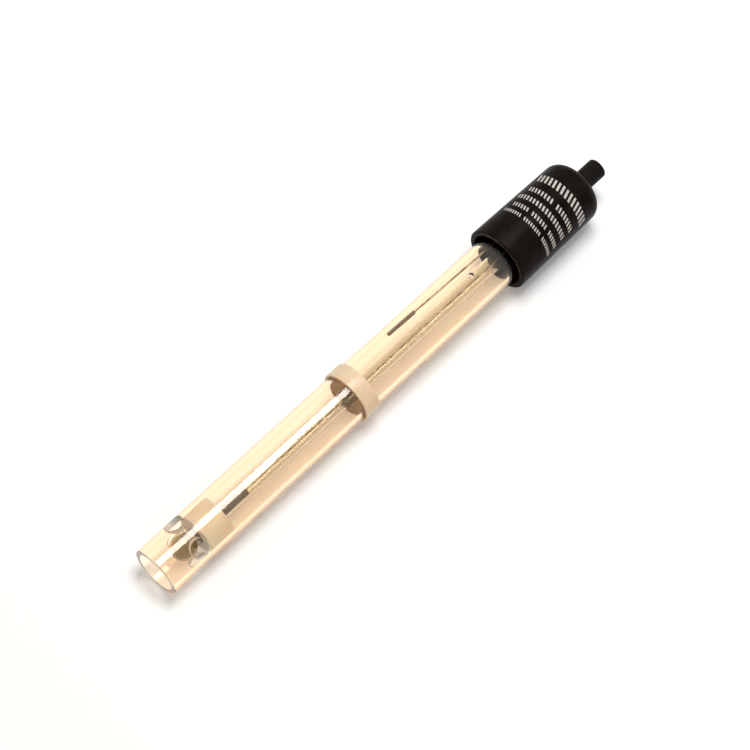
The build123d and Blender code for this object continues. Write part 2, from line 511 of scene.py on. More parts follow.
@dataclass(frozen=True)
class ClearPlastic(Finish):
    """Clear, slightly yellowed tube plastic with draw lines, handling scuffs and frosted cuts.

    Attributes:
        tint: Colour that a long way through it keeps.
        density: Strength of that tint for each metre.
        refraction: Index of refraction.
        clean: Surface colour.
        hazy: Surface colour where it is handled.
        haze: Pattern of the handled places.
        haze_limits: Noise at which the haze starts and is full.
        scuffs: Pattern of the scuffs.
        scuff_limits: Noise at which the scuffs start and are full.
        gloss: Lowest and highest roughness.
        lines: Pattern of the draw lines.
        line_relief: Relief of the draw lines.
        wall: Radii between which only the tip's end and the walls of drilled holes lie.
        guard: Heights between which those are the tip's end and the windows' walls.
        end_frost: Frost on the tip's end, as a share of that on the windows' walls.
        end_limits: Heights that part the tip's end from the windows.
        frosted_clear: Share of light that goes through a window's wall.
        frosted_gloss: Roughness of a window's wall.
        slot: Record slot that names the material.
    """

    tint: Colour = (0.976, 0.563, 0.0)
    density: float = 183.0
    refraction: float = 1.42
    clean: Colour = (1.0, 0.985, 0.95)
    hazy: Colour = (0.98, 0.95, 0.89)
    haze: Noise = Noise(0.35, detail=4.0, stretch=(1.0, 1.0, 0.25))
    haze_limits: Limits = (0.4, 0.75)
    scuffs: Noise = Noise(2.2, detail=6.0, roughness=0.7, stretch=(1.0, 1.0, 0.12))
    scuff_limits: Limits = (0.5, 0.8)
    gloss: Limits = (0.012, 0.09)
    lines: Noise = Noise(1.4, stretch=(1.0, 1.0, 0.02))
    line_relief: Relief = Relief(depth=0.012, strength=0.35)
    wall: Limits = (4.86, 5.94)
    guard: Limits = (-0.5, 16.0)
    end_frost: float = 0.7
    end_limits: Limits = (0.5, 1.0)
    frosted_clear: float = 0.4
    frosted_gloss: float = 0.5
    slot: Slot = Slot.TUBE

    def lay_on(self, bench: ShaderBench) -> None:
        """Lay the look on a material under way.

        Args:
            bench: Material under way.
        """
        bench.constant(IOR=self.refraction)
        handled = bench.spread(bench.noise(self.haze), SHARE, self.haze_limits)
        bench.feed(bench.blend(handled, self.clean, self.hazy), "Base Color")
        frosted = self.frosted(bench)
        bench.feed(bench.spread(frosted, (1.0, self.frosted_clear), SHARE), "Transmission Weight")
        scuffed = bench.spread(bench.noise(self.scuffs), self.gloss, self.scuff_limits)
        frost = bench.sum_of(Sum.MULTIPLY, frosted, self.frosted_gloss)
        bench.feed(bench.sum_of(Sum.LARGER, scuffed, frost), "Roughness")
        bench.emboss(bench.noise(self.lines), self.line_relief)
        bench.absorb(self.tint, self.density)

    def frosted(self, bench: ShaderBench) -> bpy.types.NodeSocket:
        """Tell the guard's cut end and drilled walls from the smooth faces of the tube.

        Args:
            bench: Material under way.

        Returns:
            Value socket, 1 on a window's wall, less on the tip's end and 0 elsewhere.
        """
        radius = bench.nodes.new("ShaderNodeVectorMath")
        radius.operation = "LENGTH"
        bench.links.new(bench.own_frame((1.0, 1.0, 0.0)), radius.inputs[0])
        _, _, height = bench.own_directions()
        cut = bench.between(radius.outputs["Value"], *self.wall)
        cut = bench.sum_of(Sum.MULTIPLY, cut, bench.between(height, *self.guard))
        return bench.sum_of(Sum.MULTIPLY, cut, bench.spread(height, (self.end_frost, 1.0), self.end_limits))


@dataclass(frozen=True)
class DrawnGlass(Finish):
    """Thin glass that is clear along the stem and has a brown-green tint in the bulb.

    Attributes:
        stem: Colour along the stem.
        bulb: Colour of the bulb.
        bulb_top: Height at which the bulb's tint ends.
        fade: Length over which it fades into the stem.
        refraction: Index of refraction.
        smears: Pattern of the duller places.
        smear_limits: Noise at which they start and are full.
        gloss: Lowest and highest roughness.
        lines: Pattern of the draw lines.
        line_relief: Relief of the draw lines.
        slot: Record slot that names the material.
    """

    stem: Colour = (0.89, 0.86, 0.79)
    bulb: Colour = (0.55, 0.46, 0.27)
    bulb_top: float = 11.6
    fade: float = 1.2
    refraction: float = 1.46
    smears: Noise = Noise(1.5, detail=4.0)
    smear_limits: Limits = (0.45, 0.8)
    gloss: Limits = (0.005, 0.05)
    lines: Noise = Noise(0.8, detail=2.0, stretch=(1.0, 1.0, 0.1))
    line_relief: Relief = Relief(depth=0.01, strength=0.3)
    slot: Slot = Slot.GLASS

    def lay_on(self, bench: ShaderBench) -> None:
        """Lay the look on a material under way.

        Args:
            bench: Material under way.
        """
        bench.constant(Transmission_Weight=1.0, IOR=self.refraction)
        _, _, height = bench.own_directions()
        above = bench.spread(height, SHARE, (self.bulb_top - self.fade, self.bulb_top))
        bench.feed(bench.blend(above, self.bulb, self.stem), "Base Color")
        bench.feed(bench.spread(bench.noise(self.smears), self.gloss, self.smear_limits), "Roughness")
        bench.emboss(bench.noise(self.lines), self.line_relief)


@dataclass(frozen=True)
class MilkyCast(Finish):
    """Milky translucent casting, such as the soft sleeve or the resin of the lower seal.

    Attributes:
        slot: Record slot that names the material.
        base: Main colour.
        cloud: Colour of the paler clouds in it.
        clear: Share of light that goes straight through.
        gloss: Lowest and highest roughness.
        glow: Distance that light spreads inside, in millimetres.
        glow_share: Share of light that spreads inside.
        glow_reach: How far red, green and blue light spread, as shares of that distance.
        refraction: Index of refraction.
        clouds: Pattern of the clouds.
        smears: Pattern of the duller places.
        skin: Pattern of its uneven skin.
        skin_relief: Relief of its uneven skin.
    """

    slot: Slot
    base: Colour
    cloud: Colour
    clear: float
    gloss: Limits
    glow: float
    glow_share: float = 0.7
    glow_reach: Colour = (1.0, 0.7, 0.45)
    refraction: float = 1.45
    clouds: Noise = Noise(0.5, detail=5.0, roughness=0.6)
    smears: Noise = Noise(3.0, detail=4.0)
    skin: Noise = Noise(1.6)
    skin_relief: Relief = Relief(depth=0.012, strength=0.4)

    def lay_on(self, bench: ShaderBench) -> None:
        """Lay the look on a material under way.

        Args:
            bench: Material under way.
        """
        bench.constant(
            Transmission_Weight=self.clear, IOR=self.refraction, Subsurface_Weight=self.glow_share,
            Subsurface_Scale=self.glow * MILLIMETRE, Subsurface_Radius=self.glow_reach,
        )
        clouded = bench.spread(bench.noise(self.clouds), SHARE)
        bench.feed(bench.blend(clouded, self.base, self.cloud), "Base Color")
        bench.feed(bench.spread(bench.noise(self.smears), self.gloss), "Roughness")
        bench.emboss(bench.noise(self.skin), self.skin_relief)


@dataclass(frozen=True)
class GrainySolid(Finish):
    """Opaque solid with a grain, such as ceramic, potting resin, rubber or a chloride coat.

    Attributes:
        slot: Record slot that names the material.
        base: Main colour.
        speck: Colour of the grains.
        grain: Grains in a millimetre.
        gloss: Lowest and highest roughness.
        depth: Depth of the grain in millimetres.
        shine: Level of its mirror reflection.
        detail: Number of finer layers in the grain.
        harshness: Strength of those finer layers.
        strength: Strength of the grain's shading.
    """

    slot: Slot
    base: Colour
    speck: Colour
    grain: float
    gloss: Limits
    depth: float
    shine: float = 0.5
    detail: float = 6.0
    harshness: float = 0.65
    strength: float = 0.7

    def lay_on(self, bench: ShaderBench) -> None:
        """Lay the look on a material under way.

        Args:
            bench: Material under way.
        """
        bench.constant(Specular_IOR_Level=self.shine)
        grains = bench.noise(Noise(self.grain, self.detail, self.harshness))
        bench.feed(bench.blend(bench.spread(grains, SHARE), self.base, self.speck), "Base Color")
        bench.feed(bench.spread(grains, self.gloss), "Roughness")
        bench.emboss(grains, Relief(self.depth, self.strength))


@dataclass(frozen=True)
class TarnishedSilver(Finish):
    """Bare silver wire with draw marks along it and brown tarnish in patches.

    Attributes:
        bright: Colour of the bare silver.
        tarnish: Colour of the tarnish.
        patches: Pattern of the tarnish.
        patch_limits: Noise at which the tarnish starts and is full.
        gloss: Lowest and highest roughness.
        marks: Pattern of the draw marks.
        mark_relief: Relief of the draw marks.
        slot: Record slot that names the material.
    """

    bright: Colour = (0.62, 0.56, 0.47)
    tarnish: Colour = (0.2, 0.13, 0.075)
    patches: Noise = Noise(0.5, detail=5.0, roughness=0.7)
    patch_limits: Limits = (0.35, 0.6)
    gloss: Limits = (0.28, 0.55)
    marks: Noise = Noise(9.0, detail=2.0, stretch=(1.0, 1.0, 0.05))
    mark_relief: Relief = Relief(depth=0.01, strength=0.5)
    slot: Slot = Slot.SILVER

    def lay_on(self, bench: ShaderBench) -> None:
        """Lay the look on a material under way.

        Args:
            bench: Material under way.
        """
        bench.constant(Metallic=1.0)
        patches = bench.noise(self.patches)
        tarnished = bench.spread(patches, SHARE, self.patch_limits)
        bench.feed(bench.blend(tarnished, self.bright, self.tarnish), "Base Color")
        bench.feed(bench.spread(patches, self.gloss), "Roughness")
        bench.emboss(bench.noise(self.marks), self.mark_relief)


@dataclass(frozen=True)
class PrintedRow:
    """Row of plain printed strokes on the cap.

    Attributes:
        height: Middle of the row above the tip's rim.
        width: Width along the axis.
        pitch: Turn from one stroke to the next.
        first: Place of the first stroke, in pitches.
        count: Strokes in the row, with those that are left out.
        group: Strokes from one gap to the next, with the one that is left out there.
    """

    height: float
    width: float
    pitch: float
    first: int
    count: int
    group: int


@dataclass(frozen=True)
class CapPlastic(Finish):
    """Black moulded plastic with a fine texture, a brown cast and rows of plain printed strokes.

    Attributes:
        rows: The printed rows.
        black: Main colour.
        worn: Colour of the browner patches.
        ink: Colour of the print.
        stroke: Width of a stroke, as a share of the pitch.
        slant: Lean of the strokes, in radians for each millimetre.
        refraction: Index of refraction.
        shine: Level of its mirror reflection.
        gloss: Lowest and highest roughness.
        patches: Pattern of the browner patches.
        patch_limits: Noise at which they start and are full.
        grain: Pattern of the moulded texture.
        grain_relief: Relief of the moulded texture.
        ragged: Pattern of the print's uneven edges.
        ragged_reach: How far those edges move.
        wear: Pattern of the worn print.
        wear_limits: Noise at which the wear starts and is full.
        worn_ink: Ink that is left where the wear is full.
        slot: Record slot that names the material.
    """

    rows: tuple[PrintedRow, ...]
    black: Colour = (0.0025, 0.0016, 0.0012)
    worn: Colour = (0.012, 0.0065, 0.0045)
    ink: Colour = (0.62, 0.57, 0.52)
    stroke: float = 0.5
    slant: float = 0.04
    refraction: float = 1.5
    shine: float = 0.05
    gloss: Limits = (0.3, 0.45)
    patches: Noise = Noise(0.3, detail=5.0, roughness=0.65)
    patch_limits: Limits = (0.4, 0.75)
    grain: Noise = Noise(2.6)
    grain_relief: Relief = Relief(depth=0.03, strength=0.5)
    ragged: Noise = Noise(5.0, detail=4.0, roughness=0.7)
    ragged_reach: float = 0.08
    wear: Noise = Noise(1.8, detail=6.0, roughness=0.75)
    wear_limits: Limits = (0.5, 0.75)
    worn_ink: float = 0.35
    slot: Slot = Slot.CAP

    def lay_on(self, bench: ShaderBench) -> None:
        """Lay the look on a material under way.

        Args:
            bench: Material under way.
        """
        bench.constant(IOR=self.refraction, Specular_IOR_Level=self.shine)
        patches = bench.noise(self.patches)
        shell = bench.blend(bench.spread(patches, SHARE, self.patch_limits), self.black, self.worn)
        bench.feed(bench.blend(self.inked(bench), shell, self.ink), "Base Color")
        bench.feed(bench.spread(patches, self.gloss), "Roughness")
        bench.emboss(bench.noise(self.grain), self.grain_relief)

    def inked(self, bench: ShaderBench) -> bpy.types.NodeSocket:
        """Share out the ink over the cap.

        Args:
            bench: Material under way.

        Returns:
            Value socket, up to 1 on a stroke and 0 elsewhere.
        """
        x, y, z = bench.own_directions()
        turn = bench.sum_of(Sum.ANGLE, y, x)
        ragged = bench.spread(bench.noise(self.ragged), (-self.ragged_reach, self.ragged_reach))
        height = bench.sum_of(Sum.ADD, z, ragged)
        total, *others = [self.strokes(bench, turn, height, row) for row in self.rows]
        for share in others:
            total = bench.sum_of(Sum.LARGER, total, share)
        wear = bench.spread(bench.noise(self.wear), (1.0, self.worn_ink), self.wear_limits)
        return bench.sum_of(Sum.MULTIPLY, total, wear)

    def strokes(
        self, bench: ShaderBench, turn: bpy.types.NodeSocket, height: bpy.types.NodeSocket, row: PrintedRow
    ) -> bpy.types.NodeSocket:
        """Draw a row of even, slanted strokes, in groups with a gap between them.

        Args:
            bench: Material under way.
            turn: Turn about the axis in radians.
            height: Height above the tip's rim.
            row: The row.

        Returns:
            Value socket, 1 on a stroke and 0 elsewhere.
        """
        pitch = radians(row.pitch)
        lean = bench.sum_of(Sum.MULTIPLY, bench.sum_of(Sum.SUBTRACT, height, row.height), self.slant)
        along = bench.sum_of(Sum.ADD, bench.sum_of(Sum.ADD, turn, lean), -row.first * pitch)
        wave = bench.sum_of(Sum.TO_AND_FRO, along, pitch / 2)
        shifted = bench.sum_of(Sum.ADD, along, pitch / 2)
        groups = bench.sum_of(Sum.TO_AND_FRO, shifted, row.group * pitch / 2)
        share = bench.sum_of(Sum.ABOVE, wave, (1 - self.stroke) * pitch / 2)
        for test in (
            bench.sum_of(Sum.ABOVE, groups, pitch / 2),
            bench.between(along, 0.0, row.count * pitch),
            bench.between(height, row.height - row.width / 2, row.height + row.width / 2),
        ):
            share = bench.sum_of(Sum.MULTIPLY, share, test)
        return share


@dataclass
class Workshop:
    """What every sub-assembly needs to lay down and dress its pieces.

    Attributes:
        place: Where the electrode lies.
        materials: Materials of the finishes that are in use.
    """

    frame: dict
    place: LyingPlace
    materials: dict[Finish, bpy.types.Material] = field(default_factory=dict)

    def material(self, finish: Finish) -> bpy.types.Material:
        """Find the material of a finish, which is made at its first use.

        Args:
            finish: The finish.

        Returns:
            Its material.
        """
        if finish not in self.materials:
            self.materials[finish] = finish.make(self.place)
        return self.materials[finish]

    def lay_down(self, mesh: bmesh.types.BMesh, name: str, body: Body, finish: Finish, *nodes: str) -> None:
        """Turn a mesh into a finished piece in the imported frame.

        Args:
            mesh: Mesh in the electrode's own frame, which is used up.
            name: Name of the piece.
            body: Body that it rides on.
            finish: Its finish.
            *nodes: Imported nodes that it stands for.
        """
        bmesh.ops.transform(mesh, matrix=self.place.matrix(), verts=mesh.verts)
        for face in mesh.faces:
            face.smooth = True
        data = bpy.data.meshes.new(name)
        mesh.to_mesh(data)
        mesh.free()
        data.set_sharp_from_angle(angle=radians(SHADED_ANGLE))
        data.materials.append(self.material(finish))
        piece = bpy.data.objects.new(name, data)
        bpy.context.scene.collection.objects.link(piece)
        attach(piece, body.value)
        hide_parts(*nodes)
        LOG.info("%s: %d faces, stands for %s", name, len(data.polygons), ", ".join(nodes))

    def dress(self, node: str, finish: Finish) -> None:
        """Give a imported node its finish.

        Args:
            node: Name of the node.
            finish: Its finish.
        """
        data = self.frame["nodes"][node].data
        data.materials.clear()
        data.materials.append(self.material(finish))
        LOG.info("%s: packed shape, %s", node, finish.slot.value)


@dataclass(frozen=True)
class WallPatch:
    """Stretch of the tube's unrolled wall.

    Attributes:
        start: Turn at which it starts.
        end: Turn at which it ends.
        bottom: Its lowest height.
        top: Its highest height.
    """

    start: float
    end: float
    bottom: float
    top: float

    def matrix(self) -> Matrix:
        """Matrix that brings a unit square to this stretch."""
        middle = Matrix.Translation(((self.start + self.end) / 2, (self.bottom + self.top) / 2, 0))
        return middle @ Matrix.Diagonal((self.end - self.start, self.top - self.bottom, 1, 1))


@dataclass(frozen=True)
class DrilledHole:
    """Round hole through the tube's wall.

    Attributes:
        turn: Turn of its middle.
        height: Height of its middle above the tip's rim.
        radius: Its radius.
    """

    turn: float
    height: float
    radius: float


@dataclass
class GuardTube:
    """Clear body tube, with round windows in its guard and a small fill hole.

    Attributes:
        outer: Outer radius.
        inner: Inner radius.
        top: Height of its upper end.
        rim_round: Rounding of the tip's rim.
        window_radius: Radius of a window.
        window_height: Height of the windows' middles.
        window_turn: Turn of the first window.
        window_count: Number of windows.
        window_round: Rounding of the windows' edges.
        hole_radius: Radius of the fill hole.
        hole_height: Height of its middle.
        hole_turn: Turn of its middle.
        hole_round: Rounding of its edges.
        edge_reach: How far from a hole its sharp edges are looked for.
        cell_reach: Height of the wall above and below a window that is meshed round it.
        hole_steps: Faces along each side of the wall that is meshed round the fill hole.
        hole_rings: Rings of cuts between a hole and the plain wall.
        rows: Rows of faces below the windows, up to the fill hole and above it.
        finish: Its plastic.
    """

    outer: float = 6.0
    inner: float = 4.8
    top: float = 124.3
    rim_round: Rounding = Rounding(0.25, 3)
    window_radius: float = 2.3
    window_height: float = 9.5
    window_turn: float = 35.0
    window_count: int = 4
    window_round: Rounding = Rounding(0.1, 3)
    hole_radius: float = 0.6
    hole_height: float = 98.6
    hole_turn: float = -7.0
    hole_round: Rounding = Rounding(0.06, 3)
    edge_reach: float = 0.1
    cell_reach: float = 4.6
    hole_steps: int = 10
    hole_rings: int = 7
    rows: tuple[int, int, int] = (12, 40, 12)
    finish: ClearPlastic = ClearPlastic()

    def build(self, shop: Workshop) -> None:
        """Build and dress the tube.

        Args:
            shop: Workshop that lays it down.
        """
        mesh = bmesh.new()
        for radius in (self.outer, self.inner):
            wall = bpy.data.meshes.new("wall")
            sheet = self.sheet(radius)
            sheet.to_mesh(wall)
            sheet.free()
            mesh.from_mesh(wall)
            bpy.data.meshes.remove(wall)
        for height in (0.0, self.top):
            self.close_end(mesh, height)
        for loop in self.hole_loops(mesh):
            bmesh.ops.bridge_loops(mesh, edges=loop)
        bmesh.ops.recalc_face_normals(mesh, faces=mesh.faces)
        window_reach = self.window_radius + self.edge_reach
        hole_reach = self.hole_radius + self.edge_reach
        self.soften(mesh, self.rim_round, lambda height: height < SAME_HEIGHT)
        self.soften(mesh, self.window_round, lambda height: abs(height - self.window_height) < window_reach)
        self.soften(mesh, self.hole_round, lambda height: abs(height - self.hole_height) < hole_reach)
        shop.lay_down(mesh, "guard_tube", Body.ELECTRODE, self.finish, "body_tube")

    def sheet(self, radius: float) -> bmesh.types.BMesh:
        """Make one face of the tube's wall, unrolled flat and then wrapped about the axis.

        Args:
            radius: Radius of this face.

        Returns:
            Mesh of the face.
        """
        mesh = bmesh.new()
        step = FULL_TURN / ROUND_STEPS
        share = FULL_TURN / self.window_count
        seam = self.window_turn - share / 2
        low, high = self.window_height - self.cell_reach, self.window_height + self.cell_reach
        for index in range(self.window_count):
            patch = WallPatch(seam + index * share, seam + (index + 1) * share, low, high)
            window = DrilledHole(self.window_turn + index * share, self.window_height, self.window_radius)
            self.add_drilled(mesh, radius, patch, window, ROUND_STEPS // self.window_count)
        start = seam + (round((self.hole_turn - seam) / step) - self.hole_steps // 2) * step
        end = start + self.hole_steps * step
        reach = radians(end - start) * self.outer / 2
        foot, head = self.hole_height - reach, self.hole_height + reach
        hole = DrilledHole(self.hole_turn, self.hole_height, self.hole_radius)
        self.add_drilled(mesh, radius, WallPatch(start, end, foot, head), hole, self.hole_steps)
        self.add_plain(mesh, WallPatch(end, start + FULL_TURN, foot, head), self.hole_steps)
        for bottom, top, rows in zip((0.0, high, head), (low, foot, self.top), self.rows):
            self.add_plain(mesh, WallPatch(seam, seam + FULL_TURN, bottom, top), rows)
        for vert in mesh.verts:
            turn = radians(vert.co.x)
            vert.co = (radius * cos(turn), radius * sin(turn), vert.co.y)
        bmesh.ops.remove_doubles(mesh, verts=mesh.verts, dist=WALL_MERGE)
        return mesh

    @staticmethod
    def add_plain(mesh: bmesh.types.BMesh, patch: WallPatch, rows: int) -> None:
        """Add a plain stretch of the unrolled wall."""
        columns = round((patch.end - patch.start) * ROUND_STEPS / FULL_TURN)
        bmesh.ops.create_grid(mesh, x_segments=columns, y_segments=rows, size=0.5, matrix=patch.matrix())

    def add_drilled(
        self, mesh: bmesh.types.BMesh, radius: float, patch: WallPatch, hole: DrilledHole, steps: int
    ) -> None:
        """Add a stretch of the unrolled wall with a round hole drilled through it.

        Args:
            mesh: Mesh to add to.
            radius: Radius of the wall's face.
            patch: The stretch.
            hole: The hole.
            steps: Faces along each side of the stretch.
        """
        eighth = Matrix.Rotation(pi / 4, 4, "Z")
        square = bmesh.ops.create_circle(mesh, segments=4, radius=sqrt(0.5), matrix=patch.matrix() @ eighth)
        sides = list({edge for vert in square["verts"] for edge in vert.link_edges})
        cut = bmesh.ops.subdivide_edges(mesh, edges=sides, cuts=steps - 1)
        rim = [item for item in cut["geom"] if isinstance(item, bmesh.types.BMEdge)]
        drilled = bmesh.ops.create_circle(mesh, segments=4 * steps, radius=hole.radius, matrix=eighth)
        for vert in drilled["verts"]:
            vert.co = (hole.turn + degrees(asin(vert.co.x / radius)), hole.height + vert.co.y, 0)
        ring = list({edge for vert in drilled["verts"] for edge in vert.link_edges})
        bridged = bmesh.ops.bridge_loops(mesh, edges=rim + ring)
        spokes = [edge for edge in bridged["edges"] if edge not in rim and edge not in ring]
        bmesh.ops.subdivide_edges(mesh, edges=spokes, cuts=self.hole_rings, use_grid_fill=True)

    def close_end(self, mesh: bmesh.types.BMesh, height: float) -> None:
        """Join both faces of the wall by a flat ring at one end.

        Args:
            mesh: Mesh with both faces.
            height: Height of the end.
        """
        middle = (self.outer + self.inner) / 2
        rim = [
            edge for edge in mesh.edges if edge.is_boundary
            and all(abs(vert.co.z - height) < SAME_HEIGHT for vert in edge.verts)
            and all(vert.co.xy.length > middle for vert in edge.verts)
        ]
        grown = bmesh.ops.extrude_edge_only(mesh, edges=rim)["geom"]
        inward = [item for item in grown if isinstance(item, bmesh.types.BMVert)]
        bmesh.ops.scale(mesh, vec=(self.inner / self.outer, self.inner / self.outer, 1), verts=inward)
        edge_of_wall = [vert for vert in mesh.verts if vert.is_boundary]
        bmesh.ops.remove_doubles(mesh, verts=edge_of_wall, dist=WALL_MERGE)

    def hole_loops(self, mesh: bmesh.types.BMesh) -> Iterable[list[bmesh.types.BMEdge]]:
        """Pair the open edges of the holes in the two faces of the wall.

        Args:
            mesh: Mesh with both faces.

        Returns:
            For each hole, the edges of both its loops.
        """
        loops: dict[int, list[bmesh.types.BMEdge]] = {}
        for edge in mesh.edges:
            if not edge.is_boundary:
                continue
            middle = (edge.verts[0].co + edge.verts[1].co) / 2
            turn = degrees(atan2(middle.y, middle.x)) - self.window_turn
            window = round(turn * self.window_count / FULL_TURN) % self.window_count
            loops.setdefault(-1 if middle.z > self.top / 2 else window, []).append(edge)
        return loops.values()

    @staticmethod
    def soften(mesh: bmesh.types.BMesh, rounding: Rounding, chosen: Callable[[float], bool]) -> None:
        """Round off the sharp edges at some heights.

        Args:
            mesh: Mesh of the tube.
            rounding: How they are rounded off.
            chosen: Test of an edge's heights.
        """
        sharp = [
            edge for edge in mesh.edges
            if len(edge.link_faces) == 2 and edge.calc_face_angle() > radians(SHARP_ANGLE)
            and all(chosen(vert.co.z) for vert in edge.verts)
        ]
        bmesh.ops.bevel(
            mesh, geom=sharp, offset=rounding.size, offset_type="OFFSET", segments=rounding.steps,
            profile=0.5, affect="EDGES", material=-1,
        )


@dataclass
class FillSleeve:
    """Soft milky sleeve that slides along the tube and closes the fill hole.

    Attributes:
        inner: Inner radius.
        outer: Outer radius.
        foot: Height of its lower end.
        top: Height of its upper end.
        edge: Rounding of its outer edges.
        finish: Its silicone.
    """

    inner: float = 6.05
    outer: float = 6.6
    foot: float = 58.6
    top: float = 62.8
    edge: Rounding = Rounding(0.18, 6)
    finish: MilkyCast = MilkyCast(
        Slot.SLEEVE, base=(1.0, 0.69, 0.43), cloud=(1.0, 0.79, 0.57), clear=0.2, gloss=(0.25, 0.4), glow=0.25
    )

    def build(self, shop: Workshop) -> None:
        """Build and dress the sleeve.

        Args:
            shop: Workshop that lays it down.
        """
        profile = LatheProfile(self.inner, self.foot).line_to(self.outer, self.foot, self.edge)
        profile.line_to(self.outer, self.top, self.edge).line_to(self.inner, self.top)
        shop.lay_down(profile.spun(), "soft_sleeve", Body.SLEEVE, self.finish, "fill_sleeve")


@dataclass
class BulbStem:
    """Glass stem with the thin bulb blown on its lower end.

    Attributes:
        stem_outer: Outer radius of the stem.
        stem_inner: Inner radius of the stem.
        ball: Outer radius of the bulb.
        wall: Thickness of the bulb.
        meet: Height at which the bulb meets the stem.
        top: Height of the stem's upper end.
        neck_round: Rounding of the neck outside.
        bore_round: Rounding of the neck inside.
        end_round: Rounding of the stem's upper end.
        arc_steps: Segments of the bulb's arcs.
        finish: Its glass.
    """

    stem_outer: float = 2.0
    stem_inner: float = 1.5
    ball: float = 3.1
    wall: float = 0.35
    meet: float = 10.7
    top: float = 125.3
    neck_round: Rounding = Rounding(0.5, 6)
    bore_round: Rounding = Rounding(0.1, 3)
    end_round: Rounding = Rounding(0.15, 3)
    arc_steps: int = 40
    finish: DrawnGlass = DrawnGlass()

    def build(self, shop: Workshop) -> None:
        """Build and dress the glass.

        Args:
            shop: Workshop that lays it down.
        """
        middle = self.meet - sqrt(self.ball ** 2 - self.stem_outer ** 2)
        hollow = self.ball - self.wall
        outer_sweep = HALF_TURN - degrees(asin(self.stem_outer / self.ball))
        inner_sweep = HALF_TURN - degrees(asin(self.stem_inner / hollow))
        inner_meet = middle + hollow * cos(pi - radians(inner_sweep))
        profile = LatheProfile(0, middle - self.ball).arc_about(0, middle, outer_sweep, self.arc_steps)
        profile.round_last(self.neck_round).line_to(self.stem_outer, self.top, self.end_round)
        profile.line_to(self.stem_inner, self.top).line_to(self.stem_inner, inner_meet, self.bore_round)
        profile.arc_about(0, middle, -inner_sweep, self.arc_steps)
        mesh = profile.spun(closed=False)
        shop.lay_down(mesh, "bulb_and_stem", Body.ELECTRODE, self.finish, "bulb_stem")


@dataclass
class CastSeals:
    """Cast plugs of the tube and the stem, and the porous pin through the lower one.

    Attributes:
        lower: Resin of the lower seal.
        upper: Resin of the upper seal and of the stem's plug.
        frit: Ceramic of the pin.
    """

    lower: MilkyCast = MilkyCast(
        Slot.SEAL, base=(1.0, 0.85, 0.73), cloud=(1.0, 0.92, 0.82), clear=0.12, gloss=(0.3, 0.5), glow=1.2
    )
    upper: GrainySolid = GrainySolid(
        Slot.POTTING, base=(0.02, 0.016, 0.014), speck=(0.05, 0.042, 0.036), grain=1.5, gloss=(0.35, 0.6),
        depth=0.04,
    )
    frit: GrainySolid = GrainySolid(
        Slot.FRIT, base=(0.86, 0.83, 0.78), speck=(0.7, 0.66, 0.6), grain=8.0, gloss=(0.75, 0.95), depth=0.03
    )

    def build(self, shop: Workshop) -> None:
        """Dress the seals.

        Args:
            shop: Workshop that holds them.
        """
        shop.dress("tip_seal", self.lower)
        shop.dress("upper_seal", self.upper)
        shop.dress("stem_plug", self.upper)
        shop.dress("junction_frit", self.frit)


@dataclass
class SilverWires:
    """Silver wires of both half cells, with their chloride coats.

    Attributes:
        silver: Finish of the bare wires.
        coat: Finish of the coats.
    """

    silver: TarnishedSilver = TarnishedSilver()
    coat: GrainySolid = GrainySolid(
        Slot.CHLORIDE, base=(0.1, 0.065, 0.04), speck=(0.2, 0.14, 0.095), grain=5.0, gloss=(0.6, 0.85),
        depth=0.03,
    )

    def build(self, shop: Workshop) -> None:
        """Dress the wires and the coats.

        Args:
            shop: Workshop that holds them.
        """
        for half_cell in ("signal", "reference"):
            shop.dress(f"{half_cell}_wire", self.silver)
            shop.dress(f"{half_cell}_chloride", self.coat)


